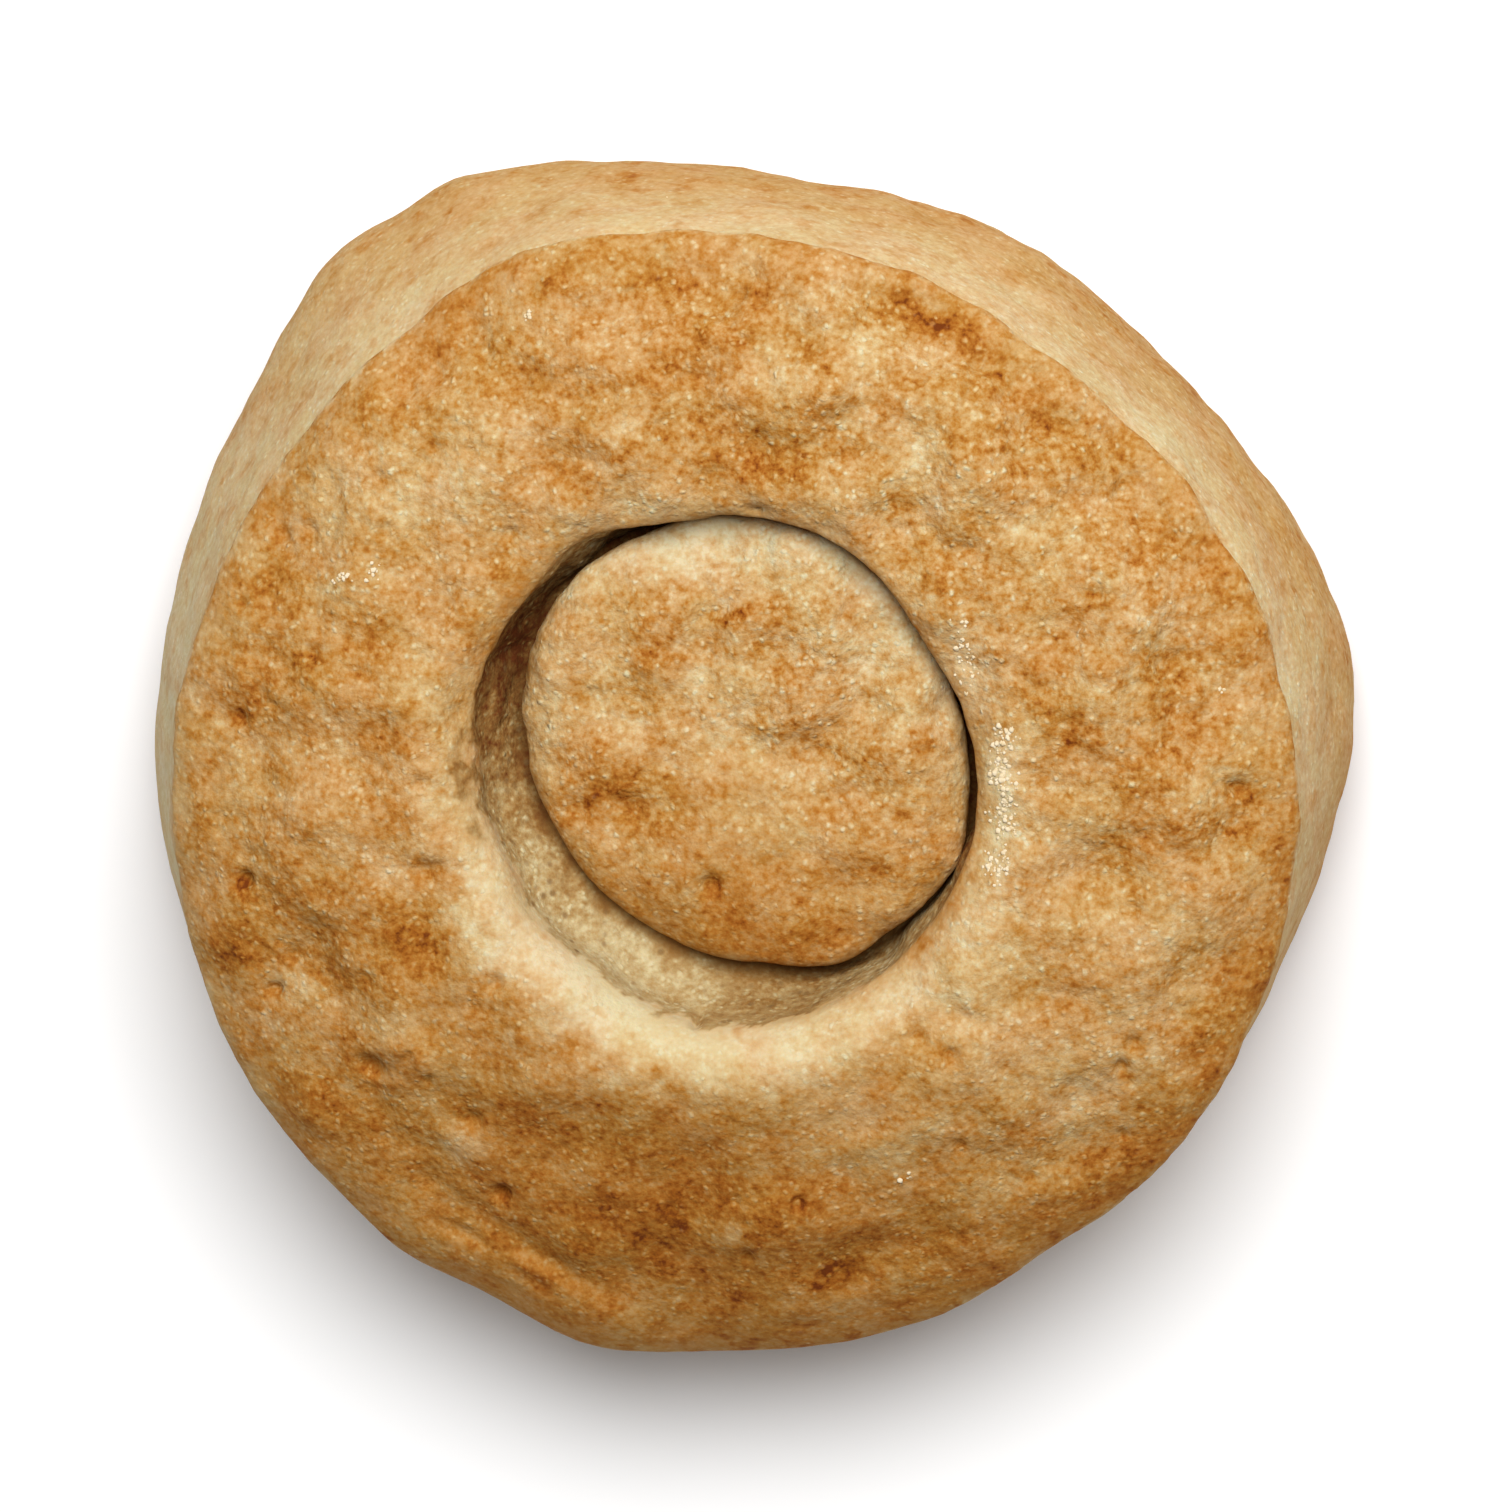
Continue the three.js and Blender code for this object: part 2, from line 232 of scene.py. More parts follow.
staining = {
    "patches": 0.8,  # strength of the patches
    "crispness": 1.6,  # over 1, their edges are crisper
    "edgeNoise": [(1.8, 0.9, 7), (0.7, 0.35, 9)],  # their edges wobble: size, mm, where in the noise
    "acrossShift": 10,  # how much further on in the noise the wobble along Y is
    "pits": 0.3,  # painted shade: browning for each mm of a pit's depth
    "pitSpread": 1.3,  # how far it reaches, in half widths of the pit
    "range": (10, 14),  # all of it fades in between these heights
}
# Browner and paler patches of the crust: x, y, half length, half width, bearing of the length, browning.
patches = [
    [11.5, 28.2, 4.6, 1.1, 350, 0.38], [4.6, 27.0, 2.0, 0.4, 300, 0.20], [-3.9, 31.0, 2.0, 0.6, 0, 0.20],
    [-11.3, 30.1, 1.8, 0.5, 10, 0.20], [16.0, 24.8, 1.6, 1.3, 320, 0.22], [10.6, 24.8, 1.8, 0.7, 340, 0.12],
    [1.3, 21.0, 4.0, 1.2, 345, 0.15], [-13.1, 25.3, 3.4, 1.4, 345, 0.18], [-6.5, 20.9, 1.0, 0.6, 0, 0.15],
    [8.1, 26.4, 1.2, 0.6, 0, -0.25], [11.4, 26.4, 0.7, 0.5, 0, -0.2], [3.3, 25.3, 2.2, 1.2, 340, -0.15],
    [-5.9, 22.1, 1.2, 0.9, 30, -0.25], [19.0, 23.0, 1.6, 1.3, 320, 0.28], [22.6, 19.7, 1.6, 1.1, 310, 0.15],
    [27.5, 15.5, 1.8, 0.9, 320, 0.22], [29.3, 11.3, 2.0, 1.4, 300, 0.12], [16.5, 13.7, 2.4, 1.6, 330, 0.1],
    [12.2, 21.3, 1.2, 0.8, 0, -0.2], [12.9, 17.8, 1.6, 0.8, 340, -0.15], [23.4, 17.4, 1.2, 0.6, 340, -0.2],
    [20.6, 3.2, 0.9, 0.6, 0, 0.25], [27.3, 2.7, 1.8, 0.7, 325, 0.18], [30.8, 0.4, 0.8, 0.8, 0, 0.28],
    [31.1, -1.9, 0.9, 0.7, 20, 0.25], [32.8, -3.8, 0.6, 1.3, 0, 0.2], [23.8, -4.4, 2.2, 2.0, 20, 0.12],
    [24.4, -6.0, 0.7, 1.2, 0, 0.18], [20.2, -0.4, 1.6, 0.8, 0, 0.12], [20.7, -11.3, 0.7, 0.6, 0, 0.15],
    [23.5, -12.6, 0.8, 0.8, 0, 0.15], [24.5, -15.3, 1.1, 0.7, 10, 0.15], [21.8, -16.7, 0.8, 0.6, 0, 0.12],
    [15.7, -19.3, 1.2, 0.7, 20, 0.18], [8.7, -17.0, 1.0, 0.5, 20, 0.15], [10.7, -19.7, 1.2, 0.6, 0, 0.12],
    [-31.0, -10.8, 1.8, 1.8, 0, 0.3], [-23.9, -15.8, 1.2, 0.8, 20, 0.18], [-18.9, -10.4, 3.4, 1.5, 310, 0.15],
    [-8.6, -22.5, 5.0, 1.8, 345, 0.15], [-27.5, -19.5, 2.4, 1.4, 320, 0.2],
    [-22.7, -24.8, 4.0, 1.4, 320, 0.15], [-26.6, -13.2, 1.6, 1.0, 350, -0.3],
    [-21.1, -15.5, 1.4, 1.0, 0, -0.2], [-16.9, -22.8, 1.6, 1.1, 340, -0.4],
    [-24.5, -19.5, 1.4, 0.8, 320, -0.25], [-0.2, -23.8, 2.0, 0.8, 340, 0.15],
    [-5.0, -28.8, 1.2, 0.8, 20, 0.1], [6.0, -31.0, 1.5, 1.4, 0, 0.5],
    [-1.7, -32.0, 2.0, 1.2, 0, 0.12], [-2.3, -27.6, 1.0, 0.8, 0, -0.25],
    [-0.3, -28.4, 1.0, 0.7, 30, -0.3], [31.4, -11.4, 1.2, 2.4, 340, 0.15], [-29.6, 4.4, 2.0, 1.5, 0, 0.25],
    [-25.6, 7.0, 1.4, 1.0, 0, 0.12], [-33.4, 2.4, 1.0, 1.4, 0, 0.2], [-33.7, -0.5, 0.7, 1.0, 0, 0.18],
    [-30.5, -6.8, 0.8, 1.2, 0, 0.2], [-26.5, -7.2, 2.8, 2.2, 0, 0.1], [-21.8, 9.2, 1.6, 1.6, 0, 0.15],
    [-26.4, 5.5, 2.0, 1.5, 0, -0.15], [-27.7, -1.0, 2.2, 1.4, 0, -0.2], [-20.0, -5.6, 1.6, 1.2, 320, -0.2],
    [-16.6, 28.9, 1.2, 0.8, 30, 0.15], [-28.8, 16.2, 0.9, 0.8, 0, 0.15], [-25.9, 15.4, 0.7, 1.0, 0, 0.15],
    [-27.5, 12.3, 1.6, 1.2, 20, 0.2], [-8.2, 17.1, 0.9, 0.7, 0, 0.12], [-20.5, 21.8, 3.0, 1.4, 340, 0.12],
    [-19.4, 34.4, 0.9, 0.3, 10, 0.25], [-22.8, 29.8, 0.8, 0.5, 0, 0.2], [-27.8, 25.0, 0.4, 0.4, 0, 0.3],
    [0.5, 10.7, 2.4, 0.5, 5, 0.26], [4.3, 12.0, 2.2, 1.6, 330, 0.08], [-5.2, 9.9, 1.0, 0.6, 340, 0.15],
    [-9.4, 5.4, 0.9, 0.9, 0, 0.15], [-1.5, 4.2, 1.2, 0.5, 10, 0.12], [-6.6, 1.4, 1.6, 0.6, 340, 0.12],
    [-8.8, -1.7, 0.7, 0.9, 0, 0.3], [-6.0, -2.0, 0.7, 1.1, 0, 0.3], [-7.6, -0.8, 1.6, 0.6, 350, 0.22],
    [-1.4, -6.2, 0.9, 0.7, 0, 0.2], [8.3, -4.9, 2.0, 0.9, 340, 0.15], [10.5, -1.9, 0.9, 0.6, 0, 0.15],
    [4.9, 2.2, 1.2, 0.6, 0, 0.1], [9.8, 2.0, 3.0, 2.0, 0, 0.1], [-6.6, 2.6, 1.2, 0.9, 0, -0.25],
    [-13.0, 34.5, 1.0, 0.35, 10, 0.35], [-8.2, 35.8, 0.9, 0.35, 350, 0.4], [-4.0, 34.7, 0.9, 0.5, 340, 0.5],
    [-9.6, 34.2, 1.2, 0.4, 10, 0.3], [2.6, 33.2, 1.0, 0.4, 350, 0.25], [15.7, 30.5, 1.2, 0.5, 330, 0.2],
    [32.0, 9.8, 0.9, 0.5, 300, 0.25], [33.8, 8.4, 0.8, 0.4, 290, 0.25], [34.0, 4.0, 0.7, 0.4, 280, 0.2],
    [-26.0, 27.5, 1.0, 0.4, 50, 0.25], [-31.0, 20.0, 1.2, 0.5, 60, 0.2], [-33.5, 12.0, 1.4, 0.5, 75, 0.2],
    [9.5, 29.8, 4.0, 0.7, 345, 0.2], [14.5, 27.2, 3.0, 0.6, 335, 0.2], [19.8, 23.9, 2.6, 0.6, 318, 0.2],
    [23.6, 21.2, 2.2, 0.5, 312, 0.2], [28.6, 15.0, 2.4, 0.5, 300, 0.18], [31.4, 9.0, 3.0, 0.5, 292, 0.15],
    [16.6, 2.4, 2.4, 1.0, 92, -0.25], [16.8, -1.2, 2.0, 1.0, 85, -0.3], [16.3, -4.2, 1.2, 1.0, 60, -0.25],
    # The long patch at -1.0, -27.0 browns the lowest part of the crust, partly as painted shade where it
    # slopes away from the lamp.
    [14.4, 8.4, 2.6, 0.8, 285, -0.2], [-1.0, -27.0, 11.0, 4.0, 0, 0.2], [-8.0, 1.5, 3.5, 3.0, 0, 0.05],
    [-1.5, 4.8, 4.0, 3.0, 20, -0.2], [-4.0, -1.0, 2.8, 2.6, 0, 0.24],
    [5.0, 24.0, 12.0, 3.0, 345, 0.05], [-1.0, 20.0, 3.5, 1.6, 345, 0.16], [-26.5, 8.5, 3.5, 4.5, 0, 0.16],
    [26.0, -1.0, 3.5, 3.5, 0, 0.12], [13.5, -25.0, 5.5, 4.0, 20, 0.14], [-19.0, 19.5, 4.0, 3.5, 0, -0.12],
    [12.0, 19.0, 6.0, 5.0, 60, -0.1], [-21.0, -11.0, 4.0, 3.0, 330, 0.1], [20.0, -11.0, 4.0, 3.0, 30, 0.12],
    [-6.5, -4.5, 4.0, 3.0, 330, -0.1],
]


def bearingGap(bearings, at):
    return (bearings - at + 180) % 360 - 180


def bump(bearings, at, spread):
    return np.exp(-((bearingGap(bearings, at) / spread) ** 2))


def bySide(amounts, bearings):  # sum of what each side of the biscuit adds
    total = np.zeros(len(bearings))
    for side, amount in amounts.items():
        total += amount * bump(bearings, *sides[side])
    return total


def outlinePoints(outline, bearings, inset):
    radius = np.zeros(len(bearings)) + outline["radius"] - inset
    for at, spread, out in outline["bulges"]:
        kept = np.maximum(radius, 0) / outline["radius"]
        radius = radius + kept * out * bump(bearings, at, spread)
    turn = np.radians(bearings)
    x = outline["centre"][0] + radius * np.cos(turn)
    y = outline["centre"][1] + radius * np.sin(turn)
    return np.stack([x, y], 1)


def ringPoints(level, bearings):
    flat = outlinePoints(level["on"], bearings, level["inset"] - bySide(level["push"], bearings))
    if level["to"]:
        flat = flat + (outlinePoints(level["to"], bearings, 0) - flat) * level["share"]
    return np.column_stack([flat, level["height"] + bySide(level["lift"], bearings)])


def smoothstep(values, low, high):
    t = np.clip((values - low) / (high - low), 0, 1)
    return t * t * (3 - 2 * t)


def curvePoints(points, index, u):  # centripetal Catmull-Rom through points[index] and points[index + 1]
    last = len(points) - 1
    p1, p2 = points[index], points[index + 1]
    p0 = points[index - 1] if index > 0 else 2 * p1 - p2
    p3 = points[index + 2] if index + 2 <= last else 2 * p2 - p1

    def knot(a, b):
        return np.maximum(np.sqrt(np.linalg.norm(b - a, axis=1, keepdims=True)), 1e-4)

    d0, d1, d2 = knot(p0, p1), knot(p1, p2), knot(p2, p3)
    m1 = d1 * ((p1 - p0) / d0 - (p2 - p0) / (d0 + d1) + (p2 - p1) / d1)
    m2 = d1 * ((p2 - p1) / d1 - (p3 - p1) / (d1 + d2) + (p3 - p2) / d2)
    c2 = -3 * p1 + 3 * p2 - 2 * m1 - m2
    c3 = 2 * p1 - 2 * p2 + m1 + m2
    return p1 + m1 * u + c2 * u * u + c3 * u ** 3


def blobs(x, y, shapes, power=1):  # long blobs: x, y, half length, half width, bearing, height
    total = np.zeros(len(x))
    for blobX, blobY, halfLength, halfWidth, bearing, rise in shapes:
        turn = math.radians(bearing)
        along = (x - blobX) * math.cos(turn) + (y - blobY) * math.sin(turn)
        across = (y - blobY) * math.cos(turn) - (x - blobX) * math.sin(turn)
        total += rise * np.exp(-(((along / halfLength) ** 2 + (across / halfWidth) ** 2) ** power))
    return total


def reliefHeight(x, y):
    height = blobs(x, y, relief["dents"] + relief["fineDents"])
    swell = relief["swell"]
    goldenAngle = math.pi * (3 - math.sqrt(5))
    for i in range(swell["waves"]):
        phase = (x * math.cos(i * goldenAngle) + y * math.sin(i * goldenAngle)) / swell["wavelength"] + i
        height += swell["height"] * np.sin(phase * 2 * math.pi) / math.sqrt(swell["waves"])
    return height


def loftRows():  # each row: its points, their columns, and how far along the profile it lies
    rings = dough["rings"]
    bearings = np.arange(dough["columns"]) * 360 / dough["columns"]
    ringRows = [ringPoints(level, bearings) for level in rings]
    gaps = [np.linalg.norm(b - a, axis=1).mean() for a, b in zip(ringRows, ringRows[1:])]
    along = np.concatenate([[0], np.cumsum(gaps)])
    rows = []
    for index, level in enumerate(rings):
        thin = slice(None, None, level["every"])
        columns = np.arange(dough["columns"])[thin]
        for step in range(level["rows"]):
            u = step / level["rows"]
            place = along[index] + u * gaps[index]
            rows.append((curvePoints(ringRows, index, u)[thin], columns, place))
    rows.append((ringRows[-1][thin], columns, along[-1]))
    return rows, along


def joinRows(lower, upper):
    faces = []
    n = len(upper)
    if len(lower) == n:
        for k in range(n):
            j = (k + 1) % n
            faces.append((lower[k], lower[j], upper[j], upper[k]))
    elif len(lower) == 2 * n:
        for k in range(n):
            j = (k + 1) % n
            faces.append((lower[2 * k], lower[2 * k + 1], upper[k]))
            faces.append((lower[2 * k + 1], lower[(2 * k + 2) % (2 * n)], upper[j], upper[k]))
    else:
        for k in range(len(lower)):
            j = (k + 1) % len(lower)
            faces.append((lower[k], lower[j], upper[2 * k + 1]))
            faces.append((lower[j], upper[(2 * k + 2) % n], upper[2 * k + 1]))
            faces.append((lower[k], upper[2 * k + 1], upper[2 * k]))
    return faces


def biscuitMesh():
    points = []
    faces = []
    columns = []
    places = []
    numbers = []
    rows, along = loftRows()
    for row, rowColumns, place in rows:
        numbers.append(list(range(len(points), len(points) + len(row))))
        points.extend(row)
        columns.extend(rowColumns)
        places.extend([place] * len(row))
    for lower, upper in zip(numbers, numbers[1:]):
        faces += joinRows(lower, upper)
    for ends, turn in ((numbers[0], -1), (numbers[-1], 1)):
        hub = len(points)
        points.append(np.mean([points[k] for k in ends], 0))
        columns.append(0)
        places.append(places[ends[0]])
        for k in range(len(ends)):
            pair = (ends[k], ends[(k + 1) % len(ends)])
            faces.append((*pair[::turn], hub))
    points = np.array(points)
    share = smoothstep(points[:, 2], *relief["dentRange"])
    points[:, 2] += share * reliefHeight(points[:, 0], points[:, 1])
    points[:, 2] = np.maximum(points[:, 2], 0)
    mesh = bpy.data.meshes.new("bakedBiscuit")
    mesh.from_pydata((points * mm).tolist(), [], faces)
    mesh.update()
    return mesh, points, np.array(columns), np.array(places), along


def noiseAt(points, size, shift):
    return np.array([noise.noise(Vector(p) / size + Vector((shift, 0, 0))) for p in points])


def layeredNoise(points, layers, shift=0):  # layers: size, strength, where in the noise
    return sum(strength * noiseAt(points, size, at + shift) for size, strength, at in layers)


def looksAlong(what, more, columns, places, along):  # a value of the rings at each vertex
    bearings = np.arange(dough["columns"]) * 360 / dough["columns"]
    stops = []
    values = []
    for index, level in enumerate(dough["rings"]):
        value = level[what] + bySide(level[more] if more else {}, bearings)
        stops.append(along[index])
        values.append(value)
        if level["hold"]:  # but not where the rim is soft
            following = dough["rings"][index + 1]
            after = following[what] + bySide(following[more] if more else {}, bearings)
            stops.append(along[index + 1] - dough["heldGap"])
            values.append(value + (after - value) * bump(bearings, *sides["soft"]))
    stops, values = np.array(stops), np.array(values)
    index = np.clip(np.searchsorted(stops, places, side="right") - 1, 0, len(stops) - 2)
    share = np.clip((places - stops[index]) / (stops[index + 1] - stops[index]), 0, 1)
    return values[index, columns] * (1 - share) + values[index + 1, columns] * share


def allPits():
    strewn = relief["strewnPits"]
    draw = random.Random(strewn["seed"])
    pits = list(relief["pits"])
    for _ in range(strewn["count"]):
        turn = draw.uniform(0, 2 * math.pi)
        out = math.sqrt(draw.uniform(strewn["from"] ** 2, strewn["to"] ** 2))
        size = draw.uniform(*strewn["halfWidth"])
        pits.append([out * math.cos(turn), out * math.sin(turn), size, draw.uniform(*strewn["depth"])])
    return pits


def addLumps(mesh, points, coarse):  # finer relief along the normals; the flat base stays flat
    normals = np.zeros(len(points) * 3)
    mesh.vertex_normals.foreach_get("vector", normals)
    height = coarse ** 2 * layeredNoise(points, relief["lumps"])
    for x, y, halfWidth, depth in allPits():
        away = np.hypot(points[:, 0] - x, points[:, 1] - y) / halfWidth
        height -= depth * np.exp(-(away ** 2)) * (points[:, 2] > relief["pitFloor"])
    height *= smoothstep(points[:, 2], *relief["lumpRange"])
    moved = points + normals.reshape(-1, 3) * height[:, None]
    centred = moved + (*dough["centred"], 0)
    mesh.vertices.foreach_set("co", (centred * mm).ravel())
    mesh.update()
    return moved


def patchBrowningAndShade(points):
    warpedX = points[:, 0] + layeredNoise(points, staining["edgeNoise"])
    warpedY = points[:, 1] + layeredNoise(points, staining["edgeNoise"], staining["acrossShift"])
    total = staining["patches"] * blobs(warpedX, warpedY, patches, staining["crispness"])
    # painted shade in the pits
    for x, y, halfWidth, depth in allPits():
        away = np.hypot(points[:, 0] - x, points[:, 1] - y) / (staining["pitSpread"] * halfWidth)
        total += staining["pits"] * depth * np.exp(-(away ** 2))
    return total * smoothstep(points[:, 2], *staining["range"])


def storeLooks(mesh, name, values):
    layer = mesh.attributes.new(name, "FLOAT", "POINT")
    layer.data.foreach_set("value", np.asarray(values, dtype=np.float32))


def addObject(name, data):
    made = bpy.data.objects.new(name, data)
    bpy.context.scene.collection.objects.link(made)
    return made


print("biscuit: lofting the dough")
mesh, points, columns, places, along = biscuitMesh()
bearings = columns * 360 / dough["columns"]
wander = dough["wander"] + bySide(dough["wanderMore"], bearings)
places = places + wander * layeredNoise(points, dough["wanderNoise"])
coarse = looksAlong("coarse", None, columns, places, along) + bySide(dough["coarser"], bearings)
points = addLumps(mesh, points, coarse)
browningAndShade = looksAlong("browningAndShade", "stain", columns, places, along)
storeLooks(mesh, "browningAndShade", browningAndShade + patchBrowningAndShade(points) * coarse)
storeLooks(mesh, "crumb", looksAlong("crumb", None, columns, places, along))
storeLooks(mesh, "coarse", coarse)
mesh.shade_smooth()
biscuit = addObject("bakedBiscuit", mesh)
print("biscuit:", sum(len(polygon.vertices) - 2 for polygon in mesh.polygons), "triangles")


# Node helpers
def newMaterial(name, roughness, specular):
    material = bpy.data.materials.new(name)
    material.use_nodes = True
    tree = material.node_tree
    tree.nodes.clear()
    out = tree.nodes.new("ShaderNodeOutputMaterial")
    shader = tree.nodes.new("ShaderNodeBsdfPrincipled")
    tree.links.new(shader.outputs["BSDF"], out.inputs["Surface"])
    shader.inputs["Roughness"].default_value = roughness
    shader.inputs["Specular IOR Level"].default_value = specular
    return material, tree, shader


def linear(r, g, b):  # from a picture's 0 to 255
    return [((c / 255 + 0.055) / 1.055) ** 2.4 if c > 10 else c / 255 / 12.92 for c in (r, g, b)] + [1]


def setSocket(tree, socket, value):
    if isinstance(value, bpy.types.NodeSocket):
        tree.links.new(value, socket)
    else:
        socket.default_value = value


def addNode(tree, kind, **sockets):
    node = tree.nodes.new(kind)
    for name, value in sockets.items():
        setSocket(tree, node.inputs[name], value)
    return node


def addMath(tree, operation, *values):
    node = tree.nodes.new("ShaderNodeMath")
    node.operation = operation
    for socket, value in zip(node.inputs, values):
        setSocket(tree, socket, value)
    return node.outputs[0]


def addRange(tree, value, low, high, bottom=0.0, top=1.0):  # smooth step from low to high
    node = tree.nodes.new("ShaderNodeMapRange")
    node.interpolation_type = "SMOOTHSTEP"
    for name, number in (("From Min", low), ("From Max", high), ("To Min", bottom), ("To Max", top)):
        setSocket(tree, node.inputs[name], number)
    setSocket(tree, node.inputs["Value"], value)
    return node.outputs[0]


def addAttribute(tree, name):
    node = tree.nodes.new("ShaderNodeAttribute")
    node.attribute_name = name
    return node.outputs["Fac"]


def mixColour(tree, blend, factor, a, b):
    node = tree.nodes.new("ShaderNodeMix")
    node.data_type = "RGBA"
    node.blend_type = blend
    for number, value in ((0, factor), (6, a), (7, b)):  # the node's sockets for colours
        setSocket(tree, node.inputs[number], value)
    return node.outputs[2]


def addRamp(tree, value, stops):
    node = tree.nodes.new("ShaderNodeValToRGB")
    elements = node.color_ramp.elements
    while len(elements) < len(stops):
        elements.new(0.5)
    for element, (position, colour) in zip(elements, stops):
        element.position = position
        element.color = linear(*colour)
    tree.links.new(value, node.inputs["Fac"])
    return node.outputs["Color"]


def addNoise(tree, vector, scale, detail, rough):
    node = addNode(tree, "ShaderNodeTexNoise", Vector=vector, Scale=scale, Detail=detail, Roughness=rough)
    return node.outputs["Fac"]


def addMask(tree, vector, mask):  # mask: scale, detail and roughness of a noise, then low, high, bottom, top
    return addRange(tree, addNoise(tree, vector, *mask[:3]), *mask[3:])


def newGroup(name, inputs, outputs):
    group = bpy.data.node_groups.new(name, "ShaderNodeTree")
    for socketName, kind in inputs:
        group.interface.new_socket(socketName, in_out="INPUT", socket_type=kind)
    for socketName, kind in outputs:
        group.interface.new_socket(socketName, in_out="OUTPUT", socket_type=kind)
    return group, group.nodes.new("NodeGroupInput").outputs, group.nodes.new("NodeGroupOutput").inputs


def useGroup(tree, group, **sockets):
    node = tree.nodes.new("ShaderNodeGroup")
    node.node_tree = group
    for name, value in sockets.items():
        setSocket(tree, node.inputs[name], value)
    return node.outputs


# Mottling: noise in four sizes, each about zero
mottleLooks = {
    # Name, scale, detail
    "waves": [("Broad", 160, 1), ("Middling", 380, 2), ("Small", 1000, 2), ("Fine", 2100, 2)],
    "roughness": 0.6,
}
mottle, given, result = newGroup(
    "bakedMottle",
    [("Vector", "NodeSocketVector")] + [(wave[0], "NodeSocketFloat") for wave in mottleLooks["waves"]],
    [("Value", "NodeSocketFloat")],
)
total = 0.0
for socketName, scale, detail in mottleLooks["waves"]:
    wave = addNoise(mottle, given["Vector"], scale, detail, mottleLooks["roughness"])
    wave = addMath(mottle, "SUBTRACT", wave, 0.5)
    total = addMath(mottle, "MULTIPLY_ADD", wave, given[socketName], total)
mottle.links.new(total, result["Value"])

# Crystals: packed grains, 1 in the middle of each and 0 between them, with some grains left out
crystalLooks = {
    "bendScale": 1500.0,  # the grains are bent by a noise
    "bend": 0.0004,  # in metres
    "edge": (0.55, 0.1),  # from between the grains to their middles
    "rare": (0.86, 0.97),  # of all grains, only those above this are bright
}
crystals, given, result = newGroup(
    "doughCrystals",
    [("Vector", "NodeSocketVector"), ("Scale", "NodeSocketFloat")],
    [("Grain", "NodeSocketFloat"), ("Bright", "NodeSocketFloat")],
)
bend = addNode(
    crystals, "ShaderNodeTexNoise", Vector=given["Vector"], Scale=crystalLooks["bendScale"], Detail=1.0
)
bent = addNode(crystals, "ShaderNodeVectorMath")
bent.operation = "MULTIPLY_ADD"
crystals.links.new(bend.outputs["Color"], bent.inputs[0])
bent.inputs[1].default_value = [crystalLooks["bend"]] * 3
crystals.links.new(given["Vector"], bent.inputs[2])
cells = addNode(crystals, "ShaderNodeTexVoronoi", Vector=bent.outputs["Vector"], Scale=given["Scale"])
drawn = addNode(crystals, "ShaderNodeSeparateColor", Color=cells.outputs["Color"]).outputs
middle = addRange(crystals, cells.outputs["Distance"], *crystalLooks["edge"])
crystals.links.new(addMath(crystals, "MULTIPLY", middle, drawn["Red"]), result["Grain"])
rare = addRange(crystals, drawn["Green"], *crystalLooks["rare"])
crystals.links.new(addMath(crystals, "MULTIPLY", middle, rare), result["Bright"])

# Crust: browning from pale dough to dark brown, some of it painted shade, with light grains; crumb where the
# dough was cut
crustLooks = {
    "browningAndShade": [
        (0.00, (198, 185, 152)),
        (0.20, (191, 167, 126)),
        (0.40, (182, 147, 99)),
        (0.55, (173, 131, 77)),
        (0.70, (163, 110, 45)),
        (0.85, (144, 84, 23)),
        (1.00, (103, 48, 11)),
    ],
    "crumb": [
        (0.00, (199, 187, 151)),
        (0.30, (185, 168, 127)),
        (0.55, (160, 131, 84)),
        (0.75, (136, 98, 50)),
        # the darkest stops are reached in the crack and at the foot of the round, where they paint shade
        (0.94, (112, 68, 30)),
        (1.00, (104, 54, 24)),
    ],
    "mottle": {"Broad": 0.45, "Middling": 0.45, "Small": 0.5, "Fine": 0.9},
    "browner": 0.11,  # everywhere, as the grains are paler
    "grainScale": 2200.0,
    "grainPaler": 0.5,
    "bright": (224, 197, 146),  # the rare bright grains
    "brightShare": 0.24,
    # Masks of noise: its scale, detail and roughness, then low, high, bottom, top
    "clump": (900, 3, 0.6, 0.35, 0.65, 0.25, 1.0),  # of grains
    "fleck": (520, 2, 0.6, 0.52, 0.7, 0.0, 0.36),  # browner, on the flank
    "drift": (260, 2, 0.5, 0.35, 0.65, 0.0, 1.0),  # from the cool tint to the warm one
    "cool": (253, 254, 246),
    "warm": (255, 250, 245),
    "porous": (300, 1, 0.5, 0.36, 0.56, 0.0, 1.0),  # where the crumb has pores
    # painted shade: the dark colour of the crumb's pores, which have no holes in the mesh
    "poreShade": (124, 94, 56),
    "poreScale": 1100.0,
    "poreEdge": (0.34, 0.1),
    "poreShare": 0.8,
    "bumpNoise": (1000, 4, 0.6),
    "bumpHeight": 0.28,  # in mm
    "grainHeight": 0.08,
    "roughness": 0.85,
    "specular": 0.08,
    "subsurface": 0.15,
    "subsurfaceRadius": (1.0, 0.5, 0.2),
    "subsurfaceDepth": 0.8,  # in mm
}

crust, tree, shader = newMaterial("bakedCrust", crustLooks["roughness"], crustLooks["specular"])
place = tree.nodes.new("ShaderNodeTexCoord").outputs["Object"]
brownedAndShaded, crumbly, coarseness = (addAttribute(tree, name) for name in ("browningAndShade", "crumb", "coarse"))

